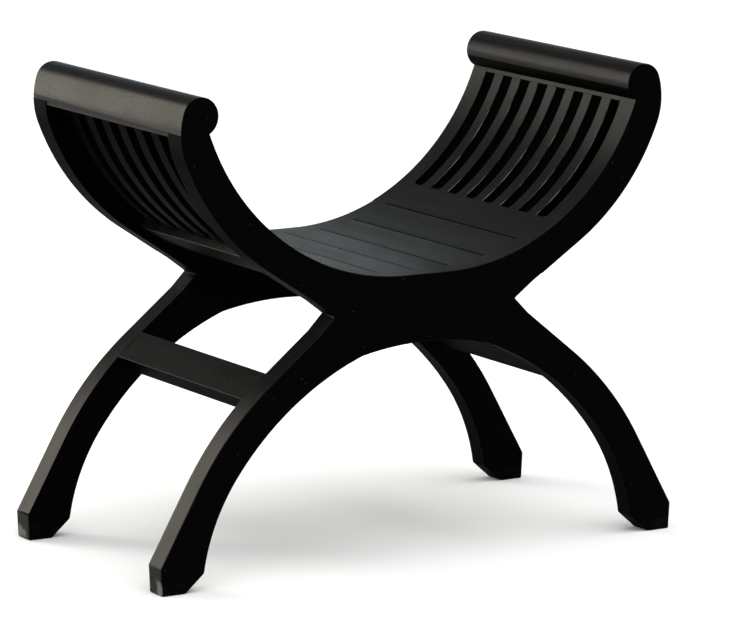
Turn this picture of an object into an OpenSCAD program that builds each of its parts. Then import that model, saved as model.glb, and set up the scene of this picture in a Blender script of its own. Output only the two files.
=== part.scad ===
// Curule stool: two U-shaped side frames on arched legs, slatted arms, rolled top rails.
// The long axis is X, the front frame faces -Y, and the floor is Z = 0.

/* [Overall] */
// Depth of the stool, from the front face to the back face
depth = 400; // [360:5:440]
// Thickness of the boards that the side frames are cut from
frame_t = 34; // [30:1:38]

/* [Seat] */
// Height of the lowest part of the seat
seat_z = 391; // [386:1:400]
// Width of the level stretch in the middle of the seat
seat_flat = 68; // [50:2:80]
// Radius of the seat's curved sides
seat_r = 316; // [306:2:326]
// Width of one seat board along the curve
board_w = 56; // [52:1:58]
// Thickness of the seat boards and of the slat rails
board_t = 33; // [30:1:36]
// Width of a slat rail along the curve
slat_rail_w = 52; // [44:1:60]

/* [Arms] */
// Thickness of an arm at its stoutest
arm_t = 46.5; // [44:0.5:50]
// How much larger the radius of the arm's back is than that of the seat
back_gain = 6; // [0:1:12]
// How far the straight under the arm's back runs on below the hub
hub_lip = 18.4; // [8:0.4:26]
// Radius of the tighter bend below the roll
bend_r = 94.5; // [90:0.5:102]
// Radius of the roll on a top rail
roll_r = 26; // [24:0.5:28]
// Height of the roll's middle above the joint between an arm and its top rail
roll_lift = 21.8; // [18:0.2:23]
// How far a top rail reaches down between the frames
apron_drop = 6; // [5:0.5:10]
// How far the outside of that apron is set back
apron_set = 1.5; // [1:0.25:3]

/* [Slats] */
// Number of slats in one arm
slats = 7; // [5:1:8]
// Width of a slat
slat_w = 21.5; // [19:0.5:25]
// Thickness of a slat
slat_t = 22; // [20:1:26]
// Thickness of the tenons on slats and stretchers
tenon_t = 10; // [8:1:12]
// Length of a slat's tenon
slat_tenon_l = 12; // [8:1:14]

/* [Legs] */
// Distance from the middle to the crotch between arm and leg
crotch_x = 141; // [134:1:148]
// Height of the crotch
crotch_z = 345; // [338:1:352]
// Length of the crotch's face above the leg
crotch_face = 30; // [25:1:36]
// Length of the straight stretch on the outside of a leg, below the hub
leg_straight = 96; // [86:1:106]
// Radius of the bend on the outside of a leg
leg_bend_r = 440; // [400:5:480]
// Radius of the inside of a leg near the foot
leg_in_low_r = 273; // [255:1:290]
// Radius of the inside of a leg near the hub
leg_in_high_r = 410; // [380:5:440]
// Radius of the crown of the arch, between the legs
crown_r = 450; // [400:10:600]
// Height of the upright face at the outside of a foot
foot_rise = 36; // [28:1:46]
// Length of the flat sole
sole = 35; // [28:1:44]
// Width of the chamfer inside the sole
foot_chamfer_w = 28; // [20:1:32]
// Height of the chamfer inside the sole
foot_chamfer_h = 24; // [18:1:30]

/* [Stretchers] */
// Distance along the leg from the hub to the left stretcher
left_stretcher_at = 82; // [70:1:100]
// Distance along the leg from the hub to the right stretcher, which sits a little lower
right_stretcher_at = 100; // [70:1:116]
// Width of a stretcher
stretcher_w = 48; // [40:1:54]
// Thickness of a stretcher
stretcher_t = 27; // [22:1:30]
// Length of a stretcher's tenon
stretcher_tenon_l = 18; // [12:1:22]

/* [Dowels] */
// Diameter of the dowels that join the boards of a frame
dowel_d = 10; // [8:0.5:10.5]
// Length of the dowels that join the boards of a frame
dowel_l = 50; // [40:1:54]
// Diameter of the dowels in the ends of boards and rails
small_dowel_d = 8; // [6:0.5:9]
// Length of the dowels in the ends of boards and rails
small_dowel_l = 40; // [30:1:44]
// Clearance round a dowel or tenon
fit = 0.08; // [0.05:0.01:0.1]

/* [Hidden] */
// Boards on each side of the seat's middle
boards = 3;
SIDES = ["left", "right"];
ENDS = ["front", "back"];

BLACK = "#2c2c2a";
GREY = "#3a3b38";
BEECH = "#b98f5e";
// How far a drawn arc may stray from the true curve
curve_tol = 0.05;
// Fineness of dowels and their bores
round_fn = 48;
// How far a cutting shape runs past what it cuts
over = 1;
// Free depth left beyond the end of a dowel or tenon
end_gap = 0.5;

// Directions, in degrees from +X towards +Z
arm_stout_angle = -35;
back_line_angle = 33.2;
back_end_angle = -21.3;
bend_end_angle = 17.8;
crotch_angle = -45;
leg_down_angle = -38.7;
leg_turn_angle = 21.9;
foot_in_angle = 8.5;
leg_in_angle = 35.6;
leg_in_top_angle = 69.7;

inner_y = depth / 2 - frame_t;
between = 2 * inner_y;

function dir(a) = [cos(a), sin(a)];
function arc(c, r, from, to) =
    let (n = max(1, ceil(abs(to - from) / (2 * acos(1 - curve_tol / r)))))
    [for (i = [0 : n]) c + r * dir(from + (to - from) * i / n)];
function mix(a, b, k) = a + (b - a) * k;
// Where the line through p along d meets the line through q along e
function meet(p, d, q, e) = p + d * cross(q - p, e) / cross(d, e);

// Seat curve: a level middle, then an arc round seat_c. A place on it is the length s
// from the middle, and a depth below the surface.
half_flat = seat_flat / 2;
seat_c = [half_flat, seat_z + seat_r];
function seat_angle(s) = -90 + (s - half_flat) / seat_r * 180 / PI;
function seat_at(s, below) =
    s < half_flat ? [s, seat_z - below] : seat_c + (seat_r + below) * dir(seat_angle(s));
function seat_path(from, to, below) = concat(
    from < half_flat ? [[from, seat_z - below]] : [],
    from < half_flat && to <= half_flat ? [[to, seat_z - below]] : [],
    to > half_flat
        ? arc(seat_c, seat_r + below, seat_angle(max(from, half_flat)), seat_angle(to))
        : []
);
function reversed(p) = [for (i = [len(p) - 1 : -1 : 0]) p[i]];
function strip(from, to, top, bottom) =
    concat(seat_path(from, to, top), reversed(seat_path(from, to, bottom)));
// Angle at which a circle of radius r round seat_c has height z
function level_angle(r, z) = asin((z - seat_c[1]) / r);

seat_end = boards * board_w;
slat_foot = seat_end + slat_rail_w;
slat_foot_a = seat_angle(slat_foot);

// Back of the arm: a straight, the back's arc, the bend and the roll, each tangent to the next
back_r = seat_r + back_gain;
back_c = seat_c + (seat_r + arm_t - back_r) * dir(arm_stout_angle);
back_from = back_line_angle - 90;
back_foot = back_c + back_r * dir(back_from);
bend_c = back_c + (back_r - bend_r) * dir(back_end_angle);
roll_c = bend_c + (bend_r - roll_r) * dir(bend_end_angle);
// The level joint between an arm and its top rail
arm_top_z = roll_c[1] - roll_lift;
slat_top_z = arm_top_z - apron_drop;
bend_top_a = asin((arm_top_z - bend_c[1]) / bend_r);
roll_foot_a = 180 + asin((roll_c[1] - arm_top_z) / roll_r);
arm_top_in = seat_c + seat_r * dir(level_angle(seat_r, arm_top_z));
arm_top_out = bend_c + bend_r * dir(bend_top_a);

// Joint between hub and arm, square to the seat at the end of the boards
arm_joint_top = seat_at(seat_end, 0);
arm_joint_dir = dir(seat_angle(seat_end));
arm_joint_foot = meet(arm_joint_top, arm_joint_dir, back_foot, dir(back_line_angle));
arm_joint_l = norm(arm_joint_foot - arm_joint_top);
hub_corner = arm_joint_foot - hub_lip * dir(back_line_angle);
arm_grain = seat_angle(seat_end) + 90;

// Outside of the leg, from the hub down
crotch = [crotch_x, crotch_z];
leg_top_out = crotch + crotch_face * dir(crotch_angle);
leg_bend_from = leg_top_out + leg_straight * dir(leg_down_angle);
leg_bend_c = leg_bend_from - leg_bend_r * dir(leg_down_angle + 90);
leg_bend_to = leg_bend_c + leg_bend_r * dir(leg_down_angle + 90 - leg_turn_angle);
foot_dir = dir(leg_down_angle - leg_turn_angle);
foot_kink = meet(leg_bend_to, foot_dir, [0, foot_rise], [1, 0]);
function leg_outside(s) =
    s < leg_straight
        ? leg_top_out + s * dir(leg_down_angle)
        : leg_bend_c + leg_bend_r
            * dir(leg_down_angle + 90 - (s - leg_straight) / leg_bend_r * 180 / PI);

// Inside of the leg, from the foot up
foot_tuck = 2;
sole_out = [foot_kink[0] - foot_tuck, 0];
sole_in = sole_out - [sole, 0];
foot_in = sole_in + [-foot_chamfer_w, foot_chamfer_h];
leg_low_c = foot_in - leg_in_low_r * dir(foot_in_angle);
leg_high_c = leg_low_c - (leg_in_high_r - leg_in_low_r) * dir(leg_in_angle);
leg_top_in = leg_high_c + leg_in_high_r * dir(leg_in_top_angle);

// Crown of the arch, an arc between the two leg joints
crown_a = asin(leg_top_in[0] / crown_r);
crown_c = [0, leg_top_in[1] - crown_r * cos(crown_a)];

function stretcher_at(side) = side == "left" ? left_stretcher_at : right_stretcher_at;
stretcher_shoulder = 8;

// Places of the dowels. The arm's pass under those of the boards, and stay inside its back.
dowel_wall = 1.5;
board_dowel_below = board_t / 3;
board_dowel_edge = 14;
arm_sag = pow(dowel_l / 2, 2) / (2 * seat_r);
arm_taper = dowel_l / 2 * tan(back_line_angle - arm_grain);
arm_dowel_below = [
    board_dowel_below + small_dowel_d / 2 + dowel_wall + arm_sag + dowel_d / 2,
    arm_joint_l - dowel_d / 2 - dowel_wall - arm_taper
];
leg_dowel_at = [0.38, 0.72];
leg_dowel_angle = -45;
top_dowel_x = [for (k = [0.27, 0.65]) mix(arm_top_in[0], arm_top_out[0], k)];
slat_tenon_edge = 3;
slot = (between - slats * slat_w) / (slats + 1);
slat_tenon_w = slat_w - 2 * slat_tenon_edge;
slat_tenon_in = (slat_t - tenon_t) / 2;
slat_tenon_s = slat_tenon_l / seat_r * 180 / PI;

// Draws a shape of the X-Z plane as a board from y to y + t
module upright(y, t) {
    translate([0, y + t, 0])
        rotate([90, 0, 0])
            linear_extrude(t)
                children();
}

// Turns a piece of the back right corner into that of another corner
module corner(end, side) {
    mirror([side == "left" ? 1 : 0, 0, 0])
        mirror([0, end == "front" ? 1 : 0, 0])
            children();
}

// A rod in the plane of a frame, centred on p, along angle a
module rod(p, a, d, l) {
    translate([p[0], inner_y + frame_t / 2, p[1]])
        rotate([0, 90 - a, 0])
            cylinder(d = d, h = l, center = true, $fn = round_fn);
}

// A rod across the joint between a frame's inner face and the end of a board
module cross_rod(p, d, l) {
    translate([p[0], inner_y, p[1]])
        rotate([90, 0, 0])
            cylinder(d = d, h = l, center = true, $fn = round_fn);
}

// Dowels of one corner. grow = 0 draws the dowels, and the fit draws their bores.
module arm_rods(grow) {
    for (b = arm_dowel_below)
        rod(arm_joint_top + b * arm_joint_dir, arm_grain,
            dowel_d + 2 * grow, dowel_l + (grow > 0 ? 2 * end_gap : 0));
}

module leg_rods(grow) {
    for (k = leg_dowel_at)
        rod(mix(leg_top_in, leg_top_out, k), leg_dowel_angle,
            dowel_d + 2 * grow, dowel_l + (grow > 0 ? 2 * end_gap : 0));
}

module top_rods(grow) {
    for (x = top_dowel_x)
        rod([x, arm_top_z], 90,
            small_dowel_d + 2 * grow, small_dowel_l + (grow > 0 ? 2 * end_gap : 0));
}

module seat_rods(from, to, grow) {
    for (s = [from + board_dowel_edge, to - board_dowel_edge])
        cross_rod(seat_at(s, board_dowel_below),
            small_dowel_d + 2 * grow, small_dowel_l + (grow > 0 ? 2 * end_gap : 0));
}

// Right side of the hub's outline, from the seat down to the leg
hub_side = concat(
    seat_path(half_flat, seat_end, 0),
    [arm_joint_foot, hub_corner, crotch, leg_top_out]
);

module hub(end) {
    color(BLACK)
        difference() {
            corner(end, "right")
                upright(inner_y, frame_t)
                    polygon(concat(
                        hub_side,
                        arc(crown_c, crown_r, 90 - crown_a, 90 + crown_a),
                        [for (p = reversed(hub_side)) [-p[0], p[1]]]
                    ));
            for (side = SIDES)
                corner(end, side) {
                    arm_rods(fit);
                    leg_rods(fit);
                    for (i = [1 : boards])
                        seat_rods((i - 1) * board_w, i * board_w, fit);
                }
        }
}

module arm(end, side) {
    color(BLACK)
        corner(end, side)
            difference() {
                upright(inner_y, frame_t)
                    polygon(concat(
                        arc(seat_c, seat_r, seat_angle(seat_end),
                            level_angle(seat_r, arm_top_z)),
                        arc(bend_c, bend_r, bend_top_a, back_end_angle),
                        arc(back_c, back_r, back_end_angle, back_from),
                        [arm_joint_foot]
                    ));
                arm_rods(fit);
                top_rods(fit);
                seat_rods(seat_end, slat_foot, fit);
            }
}

module leg(end, side) {
    color(GREY)
        corner(end, side)
            difference() {
                upright(inner_y, frame_t)
                    polygon(concat(
                        [leg_top_out],
                        arc(leg_bend_c, leg_bend_r, leg_down_angle + 90, leg_down_angle + 90 - leg_turn_angle),
                        [foot_kink, sole_out, sole_in],
                        arc(leg_low_c, leg_in_low_r, foot_in_angle, leg_in_angle),
                        arc(leg_high_c, leg_in_high_r, leg_in_angle, leg_in_top_angle)
                    ));
                leg_rods(fit);
                upright(inner_y - over, stretcher_tenon_l + end_gap + over)
                    stretcher_section(side, stretcher_shoulder, fit);
            }
}

// Section of a top rail: a roll with a level foot, swelling to meet the arm's back
module roll_section() {
    polygon(concat(
        arc(bend_c, bend_r, bend_top_a, bend_end_angle),
        arc(roll_c, roll_r, bend_end_angle, roll_foot_a)
    ));
}

// Section of the apron under the roll, flush with the slats' faces inside
apron_out = bend_c[0] + bend_r - apron_set;
module apron_section() {
    polygon([
        seat_c + seat_r * dir(level_angle(seat_r, slat_top_z)),
        arm_top_in,
        [roll_c[0], roll_c[1]],
        [apron_out, arm_top_z],
        [apron_out, slat_top_z]
    ]);
}

module top_rail(side) {
    color(GREY)
        mirror([side == "left" ? 1 : 0, 0, 0])
            difference() {
                union() {
                    upright(-depth / 2, depth) roll_section();
                    upright(-inner_y, between) apron_section();
                }
                upright(-inner_y, between)
                    translate([apron_out, slat_top_z - over])
                        square([bend_r, 2 * (arm_top_z - slat_top_z) + over]);
                slat_tenons(fit);
                for (end = ENDS) corner(end, "right") top_rods(fit);
            }
}

module slat_rail(side) {
    color(GREY)
        mirror([side == "left" ? 1 : 0, 0, 0])
            difference() {
                upright(-inner_y, between) polygon(strip(seat_end, slat_foot, 0, board_t));
                slat_tenons(fit);
                for (end = ENDS) corner(end, "right") seat_rods(seat_end, slat_foot, fit);
            }
}

function slat_y(i) = -inner_y + i * slot + (i - 1) * slat_w;

// The tongue that runs through slat i and stands out at both ends as tenons
module slat_tongue(i, grow) {
    r_in = seat_r + slat_tenon_in - grow;
    r_out = seat_r + slat_t - slat_tenon_in + grow;
    top = slat_top_z + slat_tenon_l + (grow > 0 ? end_gap : 0);
    foot_a = slat_foot_a - slat_tenon_s - (grow > 0 ? end_gap / seat_r * 180 / PI : 0);
    upright(slat_y(i) + (slat_w - slat_tenon_w) / 2 - grow, slat_tenon_w + 2 * grow)
        polygon(concat(
            arc(seat_c, r_in, foot_a, level_angle(r_in, top)),
            arc(seat_c, r_out, level_angle(r_out, top), foot_a)
        ));
}

module slat_tenons(grow) {
    for (i = [1 : slats]) slat_tongue(i, grow);
}

module slat(side, i) {
    color(GREY)
        mirror([side == "left" ? 1 : 0, 0, 0]) {
            upright(slat_y(i), slat_w)
                polygon(concat(
                    arc(seat_c, seat_r, slat_foot_a, level_angle(seat_r, slat_top_z)),
                    arc(seat_c, seat_r + slat_t,
                        level_angle(seat_r + slat_t, slat_top_z), slat_foot_a)
                ));
            slat_tongue(i, 0);
        }
}

module seat_board(side, i) {
    color(GREY)
        mirror([side == "left" ? 1 : 0, 0, 0])
            difference() {
                upright(-inner_y, between)
                    polygon(strip((i - 1) * board_w, i * board_w, 0, board_t));
                for (end = ENDS)
                    corner(end, "right") seat_rods((i - 1) * board_w, i * board_w, fit);
            }
}

// Section of a stretcher, whose face lies on the leg's outside. A shoulder draws it in for
// its tenon, and grow widens that for the mortise.
module stretcher_section(side, shoulder, grow) {
    top = leg_outside(stretcher_at(side));
    low = leg_outside(stretcher_at(side) + stretcher_w);
    along = (low - top) / norm(low - top);
    inward = [along[1], -along[0]];
    edge = shoulder - grow;
    face = (shoulder > 0 ? (stretcher_t - tenon_t) / 2 : 0) - grow;
    a = top + edge * along + face * inward;
    b = low - edge * along + face * inward;
    through = (stretcher_t - 2 * face) * inward;
    polygon([a, b, b + through, a + through]);
}

module stretcher(side) {
    color(GREY)
        mirror([side == "left" ? 1 : 0, 0, 0]) {
            upright(-inner_y, between) stretcher_section(side, 0, 0);
            upright(-inner_y - stretcher_tenon_l, between + 2 * stretcher_tenon_l)
                stretcher_section(side, stretcher_shoulder, 0);
        }
}

module at_corners() {
    for (end = ENDS, side = SIDES) corner(end, side) children();
}

module hub_arm_dowels() {
    color(BEECH) at_corners() arm_rods(0);
}

module hub_leg_dowels() {
    color(BEECH) at_corners() leg_rods(0);
}

module top_rail_dowels() {
    color(BEECH) at_corners() top_rods(0);
}

module seat_dowels() {
    color(BEECH)
        at_corners() {
            for (i = [1 : boards]) seat_rods((i - 1) * board_w, i * board_w, 0);
            seat_rods(seat_end, slat_foot, 0);
        }
}

for (e = ENDS) hub(e);
for (e = ENDS, s = SIDES) arm(e, s);
for (e = ENDS, s = SIDES) leg(e, s);
for (s = SIDES) top_rail(s);
for (s = SIDES) slat_rail(s);
for (s = SIDES, i = [1 : slats]) slat(s, i);
for (s = SIDES, i = [1 : boards])
    seat_board(s, i);
for (s = SIDES) stretcher(s);
hub_arm_dowels();
hub_leg_dowels();
top_rail_dowels();
seat_dowels();
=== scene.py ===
"""A black-stained curule stool: the looks of each wooden member, the floor, lamps and camera.

Every member starts as a copy of its own section or faces in the frame. It is extruded or closed
again without its hidden bores, its arrises are rounded, and it gets a stained and lacquered finish
whose grain runs the way that the wood does.
"""

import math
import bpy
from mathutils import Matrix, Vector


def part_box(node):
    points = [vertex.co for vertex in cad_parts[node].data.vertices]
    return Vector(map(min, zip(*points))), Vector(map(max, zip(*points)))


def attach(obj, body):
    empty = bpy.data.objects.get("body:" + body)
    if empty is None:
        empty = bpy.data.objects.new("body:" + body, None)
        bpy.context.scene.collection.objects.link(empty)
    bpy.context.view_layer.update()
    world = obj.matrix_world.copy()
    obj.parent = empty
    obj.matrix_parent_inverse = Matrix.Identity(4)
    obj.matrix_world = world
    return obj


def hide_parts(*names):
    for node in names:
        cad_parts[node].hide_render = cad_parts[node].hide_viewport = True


bl_info = {
    "name": "Curule Stool",
    "version": (1, 0, 0),
    "blender": (4, 5, 0),
    "location": "3D View > Sidebar > Stool",
    "description": "Finishes the members of a black-stained wooden stool",
    "category": "Add Mesh",
}

import bmesh
import bpy
from bpy.props import FloatProperty, FloatVectorProperty, PointerProperty
from mathutils import Vector

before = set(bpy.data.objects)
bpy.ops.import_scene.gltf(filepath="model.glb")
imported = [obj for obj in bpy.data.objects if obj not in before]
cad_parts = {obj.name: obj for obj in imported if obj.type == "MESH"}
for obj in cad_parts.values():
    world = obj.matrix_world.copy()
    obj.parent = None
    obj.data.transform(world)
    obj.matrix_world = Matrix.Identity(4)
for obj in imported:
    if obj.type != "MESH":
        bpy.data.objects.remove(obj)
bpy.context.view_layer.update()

MM = 0.001
X, Y, Z = 0, 1, 2
# Order of the finishes on a piece. The second is the dull wood, whose darker colour is painted
# shade. The third is for the narrow faces along an edge.
SATIN, DULL_SHADED, EDGE = 0, 1, 2
# A face whose normal has a larger share along Y is a flat side
FLAT_SIDE = 0.7
# A face whose normal points lower than this is underneath
UNDERNEATH = -0.25
# Two places closer than this are the same
SAME = 0.02 * MM
# Degrees by which the faces turn, at least, at a sharp edge and at a square one
SHARP, SQUARE = 12, 60
# Degrees up to which an edge is shaded smooth
SMOOTH = 34
# Sockets of a Mix node that mixes colours: factor, first and second colour, and the result
FACTOR, FIRST, SECOND, MIXED = 0, 6, 7, 2
SIDES = ("left", "right")
ENDS = ("front", "back")
HUBS = [f"hub_{end}" for end in ENDS]
ARMS = [f"arm_{end}_{side}" for end in ENDS for side in SIDES]
LEGS = [f"leg_{end}_{side}" for end in ENDS for side in SIDES]
TOP_RAILS = [f"top_rail_{side}" for side in SIDES]
SLAT_RAILS = [f"slat_rail_{side}" for side in SIDES]
SLATS = sorted(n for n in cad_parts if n.startswith("slat_") and n not in SLAT_RAILS)
BOARDS = sorted(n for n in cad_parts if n.startswith("seat_board_"))
STRETCHERS = [f"stretcher_{side}" for side in SIDES]
DOWELS = sorted(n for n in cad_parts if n.endswith("_dowels"))
# The inner faces of the front and back frames
INNER = (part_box("hub_front")[1].y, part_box("hub_back")[0].y)
# Height of the rolls' level feet, where the arms end
ROLL_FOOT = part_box(ARMS[0])[1].z


def linear(hex_colour):
    """The linear RGBA of an sRGB hex colour such as #2b2c2a."""
    parts = [int(hex_colour[i : i + 2], 16) / 255 for i in (1, 3, 5)]
    return [c / 12.92 if c <= 0.04045 else ((c + 0.055) / 1.055) ** 2.4 for c in parts] + [1.0]


class StoolSizes(bpy.types.PropertyGroup):
    """How far the edges of each kind of member are rounded."""

    arris: FloatProperty(
        name="Frame arris", description="Rounding along the edges of the side frames",
        default=2.4 * MM, min=0.3 * MM, max=3 * MM, unit="LENGTH", precision=4)
    board_arris: FloatProperty(
        name="Slat rail arris", description="Rounding along the outer edge of the slat rails",
        default=1.0 * MM, min=0.2 * MM, max=2 * MM, unit="LENGTH", precision=4)
    joint: FloatProperty(
        name="Board joint", description="Width of the fine chamfer on each board at a joint",
        default=1.0 * MM, min=0.2 * MM, max=2 * MM, unit="LENGTH", precision=4)
    slat_arris: FloatProperty(
        name="Slat arris", description="Rounding along the edges of the slats",
        default=1.2 * MM, min=0.2 * MM, max=3 * MM, unit="LENGTH", precision=4)
    slot_corner: FloatProperty(
        name="Slot corner", description="Size of the fillets in the corners of the slots",
        default=3.5 * MM, min=0.5 * MM, max=8 * MM, unit="LENGTH", precision=4)
    rail_arris: FloatProperty(
        name="Top rail arris", description="Rounding at the ends of the rolled top rails",
        default=1.5 * MM, min=0.3 * MM, max=4 * MM, unit="LENGTH", precision=4)
    stretcher_arris: FloatProperty(
        name="Stretcher arris", description="Rounding along the edges of the stretchers",
        default=1.0 * MM, min=0.3 * MM, max=4 * MM, unit="LENGTH", precision=4)


class StoolFinish(bpy.types.PropertyGroup):
    """Colours and gloss of the stained, lacquered wood and of the dowels."""

    stain: FloatVectorProperty(
        name="Stain", description="Colour of the black stain over close wood",
        subtype="COLOR", size=4, min=0, max=1, default=linear("#0e0e0d"))
    stain_thin: FloatVectorProperty(
        name="Thin stain",
        description="Colour where the stain took less and brown wood shows through",
        subtype="COLOR", size=4, min=0, max=1, default=linear("#151413"))
    pore: FloatVectorProperty(
        name="Pores", description="Colour in the open pores of the wood",
        subtype="COLOR", size=4, min=0, max=1, default=linear("#060606"))
    dust: FloatVectorProperty(
        name="Dust", description="Colour of the specks of dust on the lacquer",
        subtype="COLOR", size=4, min=0, max=1, default=linear("#6d6c68"))
    # On the slats' arrises this colour is a painted highlight; on the feet it is wear
    wear_and_glint: FloatVectorProperty(
        name="Worn wood",
        description="Colour where a slat's edge or a foot is rubbed down to the wood",
        subtype="COLOR", size=4, min=0, max=1, default=linear("#74716c"))
    gloss: FloatProperty(
        name="Gloss", description="Specular level of the rubbed and lacquered faces",
        default=0.05, min=0, max=1, subtype="FACTOR")
    dull_gloss: FloatProperty(
        name="Dull gloss", description="Specular level of flat sides and undersides",
        default=0.008, min=0, max=1, subtype="FACTOR")
    # How far the dull faces' colour is darkened: painted shade on flat sides and undersides
    painted_shade_depth: FloatProperty(
        name="Dull depth", description="Share of the stain's lightness that is left on dull faces",
        default=0.12, min=0, max=1, subtype="FACTOR")
    roughness: FloatProperty(
        name="Lacquer roughness", description="Roughness of the satin lacquer",
        default=0.27, min=0.1, max=0.8, subtype="FACTOR")
    underside: FloatProperty(
        name="Underside roughness",
        description="How much rougher the thin coat on faces that look down is",
        default=0.3, min=0, max=0.6, subtype="FACTOR")
    dowel: FloatVectorProperty(
        name="Dowels", description="Colour of the bare beech dowels",
        subtype="COLOR", size=4, min=0, max=1, default=linear("#b98f5e"))


class StoolStage(bpy.types.PropertyGroup):
    """Floor, lamps and the camera's place."""

    floor: FloatVectorProperty(
        name="Floor", description="Colour of the plain floor",
        subtype="COLOR", size=4, min=0, max=1, default=linear("#dcdcdc"))
    room: FloatVectorProperty(
        name="Room", description="Colour of the soft light from the room",
        subtype="COLOR", size=4, min=0, max=1, default=linear("#787e7e"))
    overhead: FloatProperty(
        name="Overhead light", description="Strength of the soft light from above",
        default=3.0, min=0, max=10)
    front: FloatProperty(
        name="Front light", description="Strength of the soft light from the front",
        default=2.6, min=0, max=10)
    window: FloatProperty(
        name="Side light", description="Power of the large soft lamp behind on the left, in watts",
        default=80, min=0, max=500)
    back: FloatProperty(
        name="Back light", description="Power of the dim lamp behind on the right, in watts",
        default=3.4, min=0, max=100)
    window_colour: FloatVectorProperty(
        name="Side light colour", description="Colour of the lamp behind on the left",
        subtype="COLOR", size=3, min=0, max=1, default=(1.0, 0.92, 0.80))
    back_colour: FloatVectorProperty(
        name="Back light colour", description="Colour of the dim lamp behind on the right",
        subtype="COLOR", size=3, min=0, max=1, default=(0.86, 0.95, 1.0))
    camera_place: FloatVectorProperty(
        name="Camera place", description="Where the camera stands",
        subtype="XYZ", unit="LENGTH", size=3, default=(-3.40428, -5.51860, 1.51472))
    camera_turn: FloatVectorProperty(
        name="Camera turn", description="How the camera is turned",
        subtype="EULER", unit="ROTATION", size=3,
        default=(math.radians(79.4806), math.radians(-0.5126), math.radians(-31.7952)))
    lens: FloatProperty(
        name="Lens",
        description="Focal length of the camera in millimetres, on a sensor 36 mm wide",
        default=239.31, min=20, max=500)


# Meshes


def only(obj):
    """Makes obj the one object that is selected and active."""
    bpy.ops.object.select_all(action="DESELECT")
    obj.select_set(True)
    bpy.context.view_layer.objects.active = obj


def copy_of(node):
    """A new object in the place of a CAD node, with a merged copy of its mesh, in edit mode."""
    piece = bpy.data.objects.new(f"{node}_finished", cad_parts[node].data.copy())
    bpy.context.scene.collection.objects.link(piece)
    piece.data.materials.clear()
    only(piece)
    bpy.ops.object.mode_set(mode="EDIT")
    bpy.ops.mesh.select_all(action="SELECT")
    bpy.ops.mesh.remove_doubles(threshold=SAME)
    return piece


def pick(piece, kind, test):
    """Selects the faces or edges of a piece in edit mode that pass the test, and no others."""
    bpy.ops.mesh.select_mode(type=kind)
    bpy.ops.mesh.select_all(action="DESELECT")
    mesh = bmesh.from_edit_mesh(piece.data)
    for element in mesh.faces if kind == "FACE" else mesh.edges:
        if test(element):
            element.select_set(True)
    bmesh.update_edit_mesh(piece.data)


def span(element, axis):
    """Lowest and highest place of a face or edge along an axis."""
    places = [v.co[axis] for v in element.verts]
    return min(places), max(places)


def lies_at(element, axis, place):
    """Whether a face or edge lies wholly at one place along an axis."""
    low, high = span(element, axis)
    return abs(low - place) < 2 * SAME and abs(high - place) < 2 * SAME


def runs_whole(element, front, back):
    """Whether a face or edge runs all the way from y = front to y = back."""
    low, high = span(element, Y)
    return abs(low - front) < 2 * SAME and abs(high - back) < 2 * SAME


def plane_of(face):
    """A key that the faces of one plane share."""
    distance = face.normal.dot(face.verts[0].co)
    return tuple(round(n, 2) for n in face.normal), round(distance / MM)


def looks_up(edge):
    """Whether an edge lies on the upper side of its piece."""
    return sum(f.normal.z for f in edge.link_faces) > 0


def tidy(piece):
    """Joins the flat triangles of a piece into whole faces that all point outwards."""
    bpy.ops.mesh.select_all(action="SELECT")
    bpy.ops.mesh.dissolve_limited(angle_limit=math.radians(0.3))
    bpy.ops.mesh.select_all(action="SELECT")
    bpy.ops.mesh.normals_make_consistent(inside=False)


def extruded_section(node, start, end):
    """A node's flat face at y = start, extruded to y = end. The bores behind it are left out."""
    piece = copy_of(node)
    pick(piece, "FACE", lambda f: not lies_at(f, Y, start))
    bpy.ops.mesh.delete(type="FACE")
    tidy(piece)
    bpy.ops.mesh.extrude_region_move(TRANSFORM_OT_translate={"value": (0, end - start, 0)})
    tidy(piece)
    return piece


def closed_length(node):
    """A node's faces that run its whole length between the frames, closed again at both ends
    and wherever a face with bores or mortises is left out."""
    piece = copy_of(node)
    low, high = INNER
    bored = {plane_of(f) for f in bmesh.from_edit_mesh(piece.data).faces
             if not runs_whole(f, low, high)}
    pick(piece, "FACE", lambda f: not runs_whole(f, low, high) or plane_of(f) in bored)
    bpy.ops.mesh.delete(type="FACE")
    tidy(piece)
    pick(piece, "EDGE", lambda e: e.is_boundary and runs_whole(e, low, high))
    if any(e.select for e in bmesh.from_edit_mesh(piece.data).edges):
        bpy.ops.mesh.edge_face_add()
    for place in (low, high):
        pick(piece, "EDGE", lambda e: e.is_boundary and lies_at(e, Y, place))
        bpy.ops.mesh.edge_face_add()
    tidy(piece)
    return piece


def turns(edge, least):
    """Whether the faces beside an edge turn by more than least degrees."""
    return len(edge.link_faces) == 2 and edge.calc_face_angle(0) > math.radians(least)


def round_edges(piece, width, test, segments=3):
    """Rounds the sharp edges of a piece that pass the test."""
    pick(piece, "EDGE", lambda e: turns(e, SHARP) and test(e))
    bpy.ops.mesh.bevel(offset=width, segments=segments, profile=0.5, clamp_overlap=True)


def mark_edges(piece, test=lambda face: True):
    """Gives the faces that a bevel has just made the third finish of their piece."""
    for face in bmesh.from_edit_mesh(piece.data).faces:
        if face.select and test(face):
            face.material_index = EDGE


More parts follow.
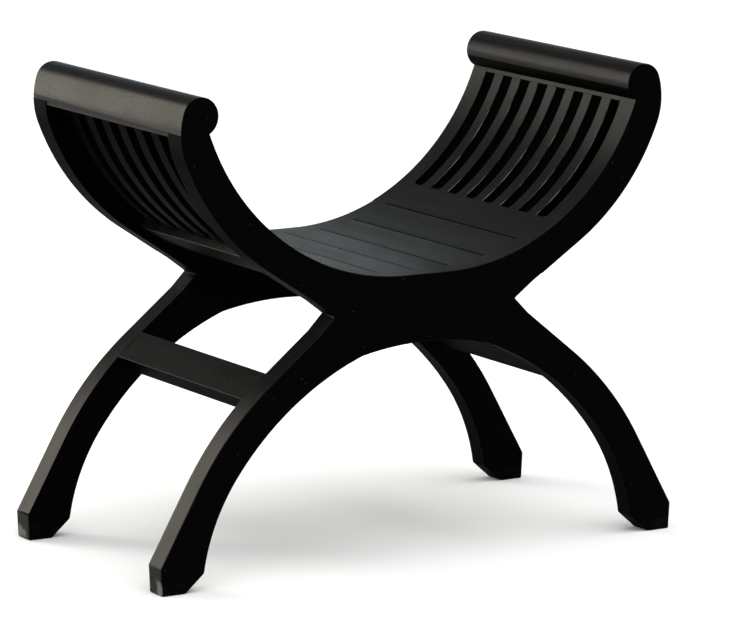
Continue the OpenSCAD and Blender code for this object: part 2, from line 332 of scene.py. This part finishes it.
def slot_ends(side):
    """Both ends of the slats on a side: the middle of the end face, the way it faces, the way
    across it to the outside, and half its thickness."""
    node = f"slat_{side}_1"
    low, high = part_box(node)
    piece = extruded_section(node, low.y, high.y)
    sign = -1 if side == "left" else 1
    ends = []
    for face in bmesh.from_edit_mesh(piece.data).faces:
        if abs(face.normal.y) > FLAT_SIDE or not all(turns(e, SQUARE) for e in face.edges):
            continue
        middle = face.calc_center_median()
        across = face.normal.cross(Vector((0, 1, 0)))
        across *= sign * math.copysign(1, across.x)
        half = max((v.co - middle).dot(across) for v in face.verts)
        ends.append((middle, face.normal.copy(), across, half))
    bpy.ops.object.mode_set(mode="OBJECT")
    bpy.ops.object.delete()
    return ends


def fill_slot_corner(piece, place, outward, end, radius, inside_face=False):
    """Draws a wedge out of the flat side at y = place where it meets a rail, so that the slot
    beside it has no sharp corner. outward is 1 or -1. With inside_face, the side runs on past the
    slot, and the wedge is first cut out of it."""
    middle, normal, across, half = end
    near = 2 * SAME
    # The wedge comes down to a narrow tip, not to a line, so that no face has zero area
    taper = 0.9
    cuts = [(middle - radius * normal, normal)]
    if inside_face:
        cuts += [(middle, normal), (middle + half * across, across)]
    for plane_co, plane_no in cuts:
        pick(piece, "FACE", lambda f: lies_at(f, Y, place))
        bpy.ops.mesh.bisect(plane_co=plane_co, plane_no=plane_no)

    def in_corner(face):
        return lies_at(face, Y, place) and all(
            -radius - near < (v.co - middle).dot(normal) < near
            and (v.co - middle).dot(across) < half + near for v in face.verts)

    def is_tip(edge):
        """Whether an edge belongs to the tip of the wedge. Known fault: nothing bounds it towards
        the other end, so a wedge that was drawn there first is picked too and moved along. Which
        end comes first changes from run to run."""
        return lies_at(edge, Y, place + outward * radius) and all(
            (v.co - middle).dot(normal) < near - radius for v in edge.verts)

    pick(piece, "FACE", in_corner)
    bpy.ops.mesh.extrude_region_move(TRANSFORM_OT_translate={"value": (0, outward * radius, 0)})
    pick(piece, "EDGE", is_tip)
    bpy.ops.transform.translate(value=taper * radius * normal)


def underneath(normal):
    return normal.z < UNDERNEATH


def faces_down(normal):
    return normal.z < 0


def finish(piece, node, woods, seed, is_dull_shaded=underneath):
    """Leaves edit mode, smooths the shading, and gives a piece its finish and its place. Flat
    sides, and faces whose normal passes the given test, take the second, duller wood, whose darker
    colour is painted shade."""
    bpy.ops.object.mode_set(mode="OBJECT")
    only(piece)
    bpy.ops.object.shade_smooth_by_angle(angle=math.radians(SMOOTH))
    weighted = piece.modifiers.new("Flat faces stay flat", "WEIGHTED_NORMAL")
    weighted.keep_sharp = True
    bpy.ops.object.modifier_apply(modifier=weighted.name)
    tone = piece.data.attributes.new("board", "FLOAT", "POINT")
    tone.data.foreach_set("value", [seed] * len(piece.data.vertices))
    for wood in woods:
        piece.data.materials.append(wood)
    # Flat sides and dull faces take the darker copy of the wood: painted shade
    for face in piece.data.polygons:
        dull = abs(face.normal.y) > FLAT_SIDE or is_dull_shaded(face.normal)
        if face.material_index == SATIN and dull:
            face.material_index = DULL_SHADED
    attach(piece, "root")
    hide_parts(node)
    return piece


def seed_of(index):
    """A number from 0 to 1 that sets the grain of one member off from the next. Steps of the
    golden ratio keep neighbours far apart, and each kind of member starts at its FIRST_SEED."""
    return (index * 0.618034) % 1


def shared_corners(node, others):
    """Corners of a node's section that another member has too, as rounded places."""
    def corners(name):
        return {(round(v.co.x / MM, 1), round(v.co.z / MM, 1))
                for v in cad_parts[name].data.vertices}
    mine = corners(node)
    return [mine & corners(other) for other in others if other != node]


def joint_test(node):
    """A test for the edges where a frame member meets the next one flush, which stay sharp."""
    end = "front" if "front" in node else "back"
    shared = shared_corners(node, [n for n in HUBS + ARMS + LEGS if end in n])

    def at_joint(edge):
        places = [(round(v.co.x / MM, 1), round(v.co.z / MM, 1)) for v in edge.verts]
        if lies_at(edge, Z, ROLL_FOOT):
            return True
        return any(all(p in corners for p in places) for corners in shared)

    return at_joint


# Materials


def add_node(tree, kind, settings=(), links=()):
    """Adds a node, sets its properties or sockets, and links its inputs from other sockets."""
    node = tree.nodes.new(kind)
    for name, value in dict(settings).items():
        if isinstance(name, str) and hasattr(node, name):
            setattr(node, name, value)
        else:
            node.inputs[name].default_value = value
    for name, source in dict(links).items():
        tree.links.new(source, node.inputs[name])
    return node


def new_material(name):
    material = bpy.data.materials.new(name)
    material.use_nodes = True
    material.node_tree.nodes.clear()
    return material, material.node_tree


def stained_wood(name, grain_turn, gloss, depth):
    """Mahogany under black stain and satin lacquer. The stain hides the figure, so the eye gets a
    near-black face with faint streaks and fine open pores along the grain, a soft sheen, and a few
    specks of dust. grain_turn is a rotation that lays the grain, which runs along X, on the piece.
    gloss is the specular level, which is lower on faces that weren't rubbed down and polished, and
    depth is the share of the stain's lightness that is left; below 1 it darkens the colour as
    painted shade."""
    finish_of = bpy.context.scene.stool_finish
    material, tree = new_material(name)
    place = add_node(tree, "ShaderNodeTexCoord").outputs["Object"]
    board = add_node(tree, "ShaderNodeAttribute", {"attribute_name": "board"}).outputs["Fac"]
    # Each member lies elsewhere in the pattern, by metres, so that no two have the same grain
    shift = add_node(tree, "ShaderNodeVectorMath", {"operation": "SCALE", 0: (3.1, 1.7, 2.3)},
                     {"Scale": board}).outputs["Vector"]
    moved = add_node(tree, "ShaderNodeVectorMath", {"operation": "ADD"}, {0: place, 1: shift})
    turned = add_node(tree, "ShaderNodeMapping",
                      {"vector_type": "TEXTURE", "Rotation": grain_turn},
                      {"Vector": moved.outputs["Vector"]}).outputs["Vector"]

    # The turned place, scaled for each pattern so that one unit is its length along the grain and
    # its width across. Pores are about 0.2 mm wide and 3 mm long. They are drawn 0.7 mm wide and
    # 9 mm long, or the picture would not show them.
    scaled = {
        pattern: add_node(tree, "ShaderNodeVectorMath",
                          {"operation": "DIVIDE", 1: (length * MM, width * MM, width * MM)},
                          {0: turned}).outputs["Vector"]
        for pattern, length, width in (("streak", 220, 5), ("pore", 9, 0.7), ("patch", 90, 50))}

    # Growth rings show as streaks about 5 mm wide and 220 mm long
    streak = add_node(tree, "ShaderNodeTexNoise",
                      {"Scale": 1.0, "Detail": 3.0, "Roughness": 0.55},
                      {"Vector": scaled["streak"]}).outputs["Fac"]
    streak = add_node(tree, "ShaderNodeMapRange", {"From Min": 0.42, "From Max": 0.72},
                      {"Value": streak}).outputs["Result"]
    # Open pores, as short dark dashes
    pore = add_node(tree, "ShaderNodeTexNoise", {"Scale": 1.0, "Detail": 2.0, "Roughness": 0.6},
                    {"Vector": scaled["pore"]}).outputs["Fac"]
    pore = add_node(tree, "ShaderNodeMapRange", {"From Min": 0.55, "From Max": 0.68},
                    {"Value": pore}).outputs["Result"]
    # Hand finishing leaves patches about 90 mm long and 50 mm wide, a little shinier or duller
    patch = add_node(tree, "ShaderNodeTexNoise", {"Scale": 1.0, "Detail": 2.0, "Roughness": 0.5},
                     {"Vector": scaled["patch"]}).outputs["Fac"]
    # Specks of dust about 1 mm across, about one in each square of 55 mm. They lie in cells of
    # 6 mm, of which few are chosen.
    speck_cell = add_node(tree, "ShaderNodeTexVoronoi", {"feature": "F1", "Scale": 1 / (6 * MM)},
                          {"Vector": place})
    speck = add_node(tree, "ShaderNodeMapRange",
                     {"From Min": 0.12, "From Max": 0.07, "To Min": 0.0, "To Max": 1.0},
                     {"Value": speck_cell.outputs["Distance"]}).outputs["Result"]
    chosen = add_node(tree, "ShaderNodeSeparateColor", {},
                      {"Color": speck_cell.outputs["Color"]}).outputs["Red"]
    chosen = add_node(tree, "ShaderNodeMath", {"operation": "GREATER_THAN", 1: 0.94},
                      {0: chosen}).outputs["Value"]
    speck = add_node(tree, "ShaderNodeMath", {"operation": "MULTIPLY"},
                     {0: speck, 1: chosen}).outputs["Value"]

    # The outer ends of the feet are scuffed in their lowest 45 mm, in patches about 10 mm across
    height_up = add_node(tree, "ShaderNodeSeparateXYZ", {}, {"Vector": place}).outputs["Z"]
    low = add_node(tree, "ShaderNodeMapRange", {"From Min": 45 * MM, "From Max": 12 * MM},
                   {"Value": height_up}).outputs["Result"]
    scuff = add_node(tree, "ShaderNodeTexNoise",
                     {"Scale": 1 / (20 * MM), "Detail": 4.0, "Roughness": 0.6},
                     {"Vector": place}).outputs["Fac"]
    scuff = add_node(tree, "ShaderNodeMath", {"operation": "MULTIPLY"},
                     {0: low, 1: scuff}).outputs["Value"]
    scuff = add_node(tree, "ShaderNodeMapRange", {"From Min": 0.42, "From Max": 0.58},
                     {"Value": scuff}).outputs["Result"]

    # The stain, and over it the pores and scuffs, each as strong as its share
    colour = add_node(tree, "ShaderNodeMix",
                      {"data_type": "RGBA", FIRST: finish_of.stain, SECOND: finish_of.stain_thin},
                      {FACTOR: streak}).outputs[MIXED]
    for pattern, share, shade in ((pore, 0.6, finish_of.pore),
                                  (scuff, 0.6 * depth, finish_of.wear_and_glint)):
        factor = add_node(tree, "ShaderNodeMath", {"operation": "MULTIPLY", 1: share},
                          {0: pattern}).outputs["Value"]
        colour = add_node(tree, "ShaderNodeMix", {"data_type": "RGBA", SECOND: shade},
                          {FACTOR: factor, FIRST: colour}).outputs[MIXED]
    # Below 1, depth darkens the colour: painted shade on the dull copy
    colour = add_node(tree, "ShaderNodeVectorMath", {"operation": "SCALE", "Scale": depth},
                      {0: colour}).outputs["Vector"]
    factor = add_node(tree, "ShaderNodeMath", {"operation": "MULTIPLY", 1: 0.3},
                      {0: speck}).outputs["Value"]
    colour = add_node(tree, "ShaderNodeMix", {"data_type": "RGBA", SECOND: finish_of.dust},
                      {FACTOR: factor, FIRST: colour}).outputs[MIXED]

    rough = add_node(tree, "ShaderNodeMapRange",
                     {"To Min": finish_of.roughness - 0.05, "To Max": finish_of.roughness + 0.07},
                     {"Value": patch}).outputs["Result"]
    rough = add_node(tree, "ShaderNodeMath", {"operation": "MULTIPLY_ADD", 1: 0.12},
                     {0: pore, 2: rough}).outputs["Value"]
    # Undersides had one thin coat and no rubbing down, so they are dull
    facing = add_node(tree, "ShaderNodeSeparateXYZ", {},
                      {"Vector": add_node(tree, "ShaderNodeTexCoord").outputs["Normal"]})
    under = add_node(tree, "ShaderNodeMapRange", {"From Min": -0.02, "From Max": -0.35},
                     {"Value": facing.outputs["Z"]}).outputs["Result"]
    rough = add_node(tree, "ShaderNodeMath", {"operation": "MULTIPLY_ADD", 1: finish_of.underside},
                     {0: under, 2: rough}).outputs["Value"]
    height = add_node(tree, "ShaderNodeMath", {"operation": "MULTIPLY_ADD", 1: -0.6},
                      {0: pore, 2: streak}).outputs["Value"]
    bump = add_node(tree, "ShaderNodeBump", {"Strength": 0.15, "Distance": 0.12 * MM},
                    {"Height": height}).outputs["Normal"]
    shader = add_node(tree, "ShaderNodeBsdfPrincipled",
                      {"Metallic": 0.0, "IOR": 1.5, "Specular IOR Level": gloss},
                      {"Base Color": colour, "Roughness": rough, "Normal": bump})
    add_node(tree, "ShaderNodeOutputMaterial", {}, {"Surface": shader.outputs["BSDF"]})
    return material


def beech(name):
    """Bare turned beech, pale and matt with short dark flecks. It is seen only if a joint opens."""
    finish_of = bpy.context.scene.stool_finish
    material, tree = new_material(name)
    place = add_node(tree, "ShaderNodeTexCoord").outputs["Object"]
    # Flecks are about 3 mm long
    fleck = add_node(tree, "ShaderNodeTexNoise", {"Scale": 1 / (3 * MM), "Detail": 2.0},
                     {"Vector": place}).outputs["Fac"]
    ramp = add_node(tree, "ShaderNodeValToRGB", {}, {"Fac": fleck})
    ramp.color_ramp.elements[0].position = 0.35
    ramp.color_ramp.elements[0].color = [0.7 * c for c in finish_of.dowel[:3]] + [1]
    ramp.color_ramp.elements[1].position = 0.6
    ramp.color_ramp.elements[1].color = finish_of.dowel
    bump = add_node(tree, "ShaderNodeBump", {"Strength": 0.3, "Distance": 0.1 * MM},
                    {"Height": fleck}).outputs["Normal"]
    shader = add_node(tree, "ShaderNodeBsdfPrincipled", {"IOR": 1.5, "Roughness": 0.6},
                      {"Base Color": ramp.outputs["Color"], "Normal": bump})
    add_node(tree, "ShaderNodeOutputMaterial", {}, {"Surface": shader.outputs["BSDF"]})
    return material


def woods_for(kind, degrees=0.0, along_y=False):
    """The satin and the dull stained wood of a kind of member, made once. The dull wood's darker
    colour is painted shade. degrees is how far the grain rises from X in the plane of the frames.
    along_y lays it from front to back instead."""
    finish_of = bpy.context.scene.stool_finish
    turn = (0, 0, math.radians(90)) if along_y else (0, math.radians(-degrees), 0)
    woods = []
    # The dull copy's colour is darkened by its depth: painted shade
    for coat, gloss, depth in (("satin", finish_of.gloss, 1.0),
                               ("dull", finish_of.dull_gloss, finish_of.painted_shade_depth)):
        name = f"Black stained mahogany, {coat}, {kind}"
        woods.append(bpy.data.materials.get(name) or stained_wood(name, turn, gloss, depth))
    return woods


def joint_painted_shade():
    """Black and without any shine in the fine grooves between boards: painted shade where the
    groove's walls fall in shadow.
    """
    name = "Painted shade in a board joint"
    if name in bpy.data.materials:
        return bpy.data.materials[name]
    material, tree = new_material(name)
    place = add_node(tree, "ShaderNodeTexCoord").outputs["Object"]
    # Its roughness is uneven, in patches of about 4 mm
    uneven = add_node(tree, "ShaderNodeTexNoise", {"Scale": 1 / (4 * MM), "Detail": 2.0},
                      {"Vector": place}).outputs["Fac"]
    rough = add_node(tree, "ShaderNodeMapRange", {"To Min": 0.85, "To Max": 1.0},
                     {"Value": uneven}).outputs["Result"]
    shader = add_node(tree, "ShaderNodeBsdfPrincipled",
                      {"Base Color": linear("#020202"), "Specular IOR Level": 0.0},
                      {"Roughness": rough})
    add_node(tree, "ShaderNodeOutputMaterial", {}, {"Surface": shader.outputs["BSDF"]})
    return material


def arris_glint():
    """A broken line of paler colour along an arris: a painted highlight where the arris catches the
    light, in the colour of rubbed wood.
    """
    name = "Black stain worn along an arris"
    if name in bpy.data.materials:
        return bpy.data.materials[name]
    finish_of = bpy.context.scene.stool_finish
    material, tree = new_material(name)
    place = add_node(tree, "ShaderNodeTexCoord").outputs["Object"]
    # The pale places of the painted highlight are 10 to 30 mm long
    glint_patches = add_node(tree, "ShaderNodeTexNoise", {"Scale": 1 / (30 * MM), "Detail": 3.0},
                    {"Vector": place}).outputs["Fac"]
    ramp = add_node(tree, "ShaderNodeValToRGB", {}, {"Fac": glint_patches})
    ramp.color_ramp.elements[0].position = 0.44
    ramp.color_ramp.elements[0].color = finish_of.stain
    ramp.color_ramp.elements[1].position = 0.66
    ramp.color_ramp.elements[1].color = finish_of.wear_and_glint
    rough = add_node(tree, "ShaderNodeMapRange", {"To Min": 0.3, "To Max": 0.5},
                     {"Value": glint_patches}).outputs["Result"]
    shader = add_node(tree, "ShaderNodeBsdfPrincipled",
                      {"IOR": 1.5, "Specular IOR Level": finish_of.gloss},
                      {"Base Color": ramp.outputs["Color"], "Roughness": rough})
    add_node(tree, "ShaderNodeOutputMaterial", {}, {"Surface": shader.outputs["BSDF"]})
    return material


# Pieces


class STOOL_OT_frames(bpy.types.Operator):
    """Make the hubs, arms and legs of the front and back frames"""

    bl_idname = "stool.frames"
    bl_label = "Side frames"
    FIRST_SEED = 0

    # Degrees by which the grain of a right-hand arm and leg rises from X
    ARM_GRAIN = 52
    LEG_GRAIN = -50
    # Only the faces of an arm whose normals point higher than this are rubbed down; the others take
    # the dull wood with painted shade
    ARM_RUBBED = 0.02

    def finish_for(self, node):
        """The woods of a frame member, and the test for its dull faces, which are painted darker as
        shade.
        """
        side = node.split("_")[-1]
        sign = -1 if side == "left" else 1
        if node in HUBS:
            return woods_for("hub"), underneath
        if node in ARMS:
            woods = woods_for("arm " + side, sign * self.ARM_GRAIN)
            return woods, lambda normal: normal.z < self.ARM_RUBBED
        woods = woods_for("leg " + side, sign * self.LEG_GRAIN)
        return woods, lambda normal: normal.x * sign < 0

    def execute(self, context):
        arris = context.scene.stool_sizes.arris
        corner = context.scene.stool_sizes.slot_corner
        ends = {side: slot_ends(side) for side in SIDES}
        seat_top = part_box(SLAT_RAILS[0])[1].z

        def beside_seat(edge):
            """Whether the seat's boards meet the frame flush at an edge."""
            inner_edge = any(lies_at(edge, Y, place) for place in INNER)
            return inner_edge and looks_up(edge) and span(edge, Z)[1] < seat_top + SAME

        for index, node in enumerate(HUBS + ARMS + LEGS):
            low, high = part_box(node)
            outer, inner = (low.y, high.y) if "front" in node else (high.y, low.y)
            piece = extruded_section(node, outer, inner)
            at_joint = joint_test(node)
            round_edges(piece, arris, lambda e: not at_joint(e) and not beside_seat(e), segments=4)
            for end in ends[node.split("_")[-1]] if node in ARMS else ():
                fill_slot_corner(piece, inner, -math.copysign(1, inner), end, corner, True)
            woods, is_dull_shaded = self.finish_for(node)
            finish(piece, node, woods, seed_of(self.FIRST_SEED + index), is_dull_shaded)
        return {"FINISHED"}


class STOOL_OT_boards(bpy.types.Operator):
    """Make the seat boards and the slat rails beside them"""

    bl_idname = "stool.boards"
    bl_label = "Seat boards"
    FIRST_SEED = 20

    def execute(self, context):
        sizes = context.scene.stool_sizes
        # The third wood paints shade in the fine grooves between boards
        woods = woods_for("grain from front to back", along_y=True) + [joint_painted_shade()]
        for index, node in enumerate(BOARDS + SLAT_RAILS):
            piece = closed_length(node)
            low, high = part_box(node)
            middle = abs(low.x + high.x) / 2

            def is_long(edge):
                return runs_whole(edge, low.y, high.y)

            def is_outer(edge):
                return node in SLAT_RAILS and abs(edge.verts[0].co.x) > middle

            round_edges(piece, sizes.board_arris,
                        lambda e: is_long(e) and is_outer(e) and not looks_up(e))
            round_edges(piece, sizes.joint, segments=1,
                        test=lambda e: is_long(e) and looks_up(e) and not is_outer(e))
            mark_edges(piece)
            finish(piece, node, woods, seed_of(self.FIRST_SEED + index))
        return {"FINISHED"}


class STOOL_OT_slats(bpy.types.Operator):
    """Make the curved slats of both arms"""

    bl_idname = "stool.slats"
    bl_label = "Slats"
    FIRST_SEED = 40
    # Degrees by which the grain of a right-hand slat rises from X
    SLAT_GRAIN = 52

    def execute(self, context):
        def is_crest(face):
            """Whether a face of a rounded edge on the slat's upper side is the middle one."""
            return 0.5 < abs(face.normal.y) < 0.9 and face.normal.z > 0

        arris = context.scene.stool_sizes.slat_arris
        corner = context.scene.stool_sizes.slot_corner
        ends = {side: slot_ends(side) for side in SIDES}
        for index, node in enumerate(SLATS):
            low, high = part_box(node)
            piece = extruded_section(node, low.y, high.y)
            round_edges(piece, arris, lambda e: span(e, Y)[1] - span(e, Y)[0] < SAME)
            # The crest of each slat's upper arris takes the third wood: a painted highlight
            mark_edges(piece, is_crest)
            for end in ends[node.split("_")[1]]:
                fill_slot_corner(piece, low.y, -1, end, corner)
                fill_slot_corner(piece, high.y, 1, end, corner)
            sign = -1 if "left" in node else 1
            woods = woods_for("slat " + node.split("_")[1], sign * self.SLAT_GRAIN) + [arris_glint()]
            finish(piece, node, woods, seed_of(self.FIRST_SEED + index), faces_down)
        return {"FINISHED"}


class STOOL_OT_top_rails(bpy.types.Operator):
    """Make the rolled top rails, with the shallow apron under each roll"""

    bl_idname = "stool.top_rails"
    bl_label = "Top rails"
    FIRST_SEED = 60
    # The faces of a roll whose normals point lower than this are dull, and painted darker as shade
    ROLL_UNDER = -0.28

    def execute(self, context):
        arris = context.scene.stool_sizes.rail_arris
        for index, node in enumerate(TOP_RAILS):
            low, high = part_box(node)
            piece = extruded_section(node, low.y, high.y)
            self.add_apron(piece, node)
            round_edges(piece, arris, lambda e: not lies_at(e, Z, ROLL_FOOT))
            finish(piece, node, woods_for("grain from front to back", along_y=True),
                   seed_of(self.FIRST_SEED + index), lambda normal: normal.z < self.ROLL_UNDER)
        return {"FINISHED"}

    def add_apron(self, piece, node):
        """Cuts a strip out of the roll's level foot between the frames and draws it down."""
        front, back = INNER
        # The apron's corners on the front frame's inner face, and the height of its lower edge
        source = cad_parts[node].data.vertices
        ends = [v.co for v in source if abs(v.co.y - front) < SAME and v.co.z < ROLL_FOOT + SAME]
        drop = min(c.z for c in ends)
        top_x = sorted({round(c.x, 5) for c in ends if abs(c.z - ROLL_FOOT) < SAME}, key=abs)
        low_x = sorted({round(c.x, 5) for c in ends if abs(c.z - drop) < SAME}, key=abs)
        inside, outside = top_x[0], low_x[-1]

        def under(face):
            return lies_at(face, Z, ROLL_FOOT)

        for place, normal in (((0, front, 0), (0, 1, 0)), ((0, back, 0), (0, 1, 0)),
                              ((inside, 0, 0), (1, 0, 0)), ((outside, 0, 0), (1, 0, 0))):
            pick(piece, "FACE", under)
            bpy.ops.mesh.bisect(plane_co=place, plane_no=normal)
        x_low, x_high = sorted((inside, outside))
        pick(piece, "FACE", lambda f: under(f)
             and front - SAME < span(f, Y)[0] and span(f, Y)[1] < back + SAME
             and x_low - 2 * SAME < span(f, X)[0] and span(f, X)[1] < x_high + 2 * SAME)
        bpy.ops.mesh.extrude_region_move(
            TRANSFORM_OT_translate={"value": (0, 0, drop - ROLL_FOOT)})
        pick(piece, "EDGE", lambda e: lies_at(e, Z, drop) and lies_at(e, X, inside))
        bpy.ops.transform.translate(value=(low_x[0] - inside, 0, 0))


class STOOL_OT_stretchers(bpy.types.Operator):
    """Make the flat stretchers between the legs on each side"""

    bl_idname = "stool.stretchers"
    bl_label = "Stretchers"
    FIRST_SEED = 70

    def execute(self, context):
        arris = context.scene.stool_sizes.stretcher_arris
        for index, node in enumerate(STRETCHERS):
            piece = closed_length(node)
            round_edges(piece, arris, lambda e: runs_whole(e, *INNER))
            finish(piece, node, woods_for("grain from front to back", along_y=True),
                   seed_of(self.FIRST_SEED + index), faces_down)
        return {"FINISHED"}


class STOOL_OT_dowels(bpy.types.Operator):
    """Finish the dowels that hold the members together"""

    bl_idname = "stool.dowels"
    bl_label = "Dowels"

    def execute(self, context):
        material = beech("Bare beech dowel")
        for node in DOWELS:
            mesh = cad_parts[node].data
            mesh.materials.clear()
            mesh.materials.append(material)
        return {"FINISHED"}


class STOOL_OT_stage(bpy.types.Operator):
    """Set the floor, the lamps, the room's light and the camera"""

    bl_idname = "stool.stage"
    bl_label = "Stage"
    # Reaches past the horizon of every view, in metres
    FLOOR_RADIUS = 60

    def execute(self, context):
        stage = context.scene.stool_stage
        bpy.ops.object.select_all(action="DESELECT")
        self.add_floor(stage)
        self.add_room_light(context.scene, stage)
        self.add_sun("Overhead light", (-0.20, -0.15, 1.0), 100, stage.overhead)
        # Soft light over the whole front, which the tops mirror to the back and the right
        self.add_sun("Front light", (0.35, -0.75, 0.55), 120, stage.front)
        # A tall lamp 3 m away, which faces the stool's left end
        self.add_lamp("Side light", (-1.85, 2.65, 1.45), (-0.36, 0, 1.0), (1.3, 2.3),
                      stage.window, stage.window_colour)
        # A wide, low and dim lamp behind on the right, which the seat mirrors to the front
        self.add_lamp("Back light", (1.2, 2.6, 0.95), (0, 0, 0.5), (2.2, 1.5),
                      stage.back, stage.back_colour)
        self.add_camera(context.scene, stage)
        context.scene.view_settings.view_transform = "Standard"
        return {"FINISHED"}

    def add_floor(self, stage):
        bpy.ops.mesh.primitive_circle_add(
            vertices=96, radius=self.FLOOR_RADIUS, fill_type="NGON")
        floor = bpy.context.object
        floor.name = "floor"
        material, tree = new_material("Matt white floor paper")
        place = add_node(tree, "ShaderNodeTexCoord").outputs["Object"]
        # The paper's tooth is about 1 mm
        tooth = add_node(tree, "ShaderNodeTexNoise", {"Scale": 1 / MM, "Detail": 1.0},
                         {"Vector": place}).outputs["Fac"]
        rough = add_node(tree, "ShaderNodeMapRange", {"To Min": 0.85, "To Max": 0.95},
                         {"Value": tooth}).outputs["Result"]
        shader = add_node(tree, "ShaderNodeBsdfPrincipled",
                          {"Base Color": stage.floor, "Specular IOR Level": 0.0},
                          {"Roughness": rough})
        add_node(tree, "ShaderNodeOutputMaterial", {}, {"Surface": shader.outputs["BSDF"]})
        floor.data.materials.append(material)

    def add_room_light(self, scene, stage):
        world = bpy.data.worlds.new("Room light")
        scene.world = world
        world.use_nodes = True
        background = world.node_tree.nodes["Background"]
        background.inputs["Color"].default_value = stage.room
        background.inputs["Strength"].default_value = 1.0

    def add_light(self, name, kind, place, towards, energy):
        """A light of a kind at a place that shines away from the direction towards."""
        bpy.ops.object.light_add(type=kind, location=place)
        light = bpy.context.object
        light.name = name
        light.rotation_euler = Vector(towards).to_track_quat("Z", "Y").to_euler()
        light.data.energy = energy
        return light

    def add_sun(self, name, direction, width, energy):
        """A soft sun that stands in a direction from the stool and is width degrees wide."""
        light = self.add_light(name, "SUN", (0, 0, 0), direction, energy)
        light.data.angle = math.radians(width)

    def add_lamp(self, name, place, target, size, energy, colour):
        """A soft rectangular lamp that faces a target. size is its width and height in metres."""
        light = self.add_light(name, "AREA", place, Vector(place) - Vector(target), energy)
        light.data.shape = "RECTANGLE"
        light.data.size, light.data.size_y = size
        light.data.color = colour
        light.visible_camera = False

    def add_camera(self, scene, stage):
        bpy.ops.object.camera_add(location=stage.camera_place, rotation=stage.camera_turn)
        camera = bpy.context.object
        camera.data.sensor_width = 36
        camera.data.sensor_fit = "HORIZONTAL"
        camera.data.lens = stage.lens
        camera.data.clip_start = 0.1
        camera.data.clip_end = 200
        scene.camera = camera


class STOOL_PT_panel(bpy.types.Panel):
    """Sizes, finish and steps of the stool"""

    bl_label = "Stool"
    bl_idname = "STOOL_PT_panel"
    bl_space_type = "VIEW_3D"
    bl_region_type = "UI"
    bl_category = "Stool"

    def draw(self, context):
        scene = context.scene
        for group in (scene.stool_sizes, scene.stool_finish, scene.stool_stage):
            box = self.layout.box()
            for name in group.__annotations__:
                box.prop(group, name)
        for operator in OPERATORS:
            self.layout.operator(operator.bl_idname)


GROUPS = (("stool_sizes", StoolSizes), ("stool_finish", StoolFinish), ("stool_stage", StoolStage))
OPERATORS = (STOOL_OT_frames, STOOL_OT_boards, STOOL_OT_slats, STOOL_OT_top_rails,
             STOOL_OT_stretchers, STOOL_OT_dowels, STOOL_OT_stage)


def register():
    for name, group in GROUPS:
        bpy.utils.register_class(group)
        setattr(bpy.types.Scene, name, PointerProperty(type=group))
    for item in OPERATORS + (STOOL_PT_panel,):
        bpy.utils.register_class(item)


def unregister():
    for item in reversed(OPERATORS + (STOOL_PT_panel,)):
        bpy.utils.unregister_class(item)
    for name, group in reversed(GROUPS):
        delattr(bpy.types.Scene, name)
        bpy.utils.unregister_class(group)


def main():
    register()
    bpy.ops.stool.frames()
    bpy.ops.stool.boards()
    bpy.ops.stool.slats()
    bpy.ops.stool.top_rails()
    bpy.ops.stool.stretchers()
    bpy.ops.stool.dowels()
    bpy.ops.stool.stage()


if __name__ == "__main__":
    main()
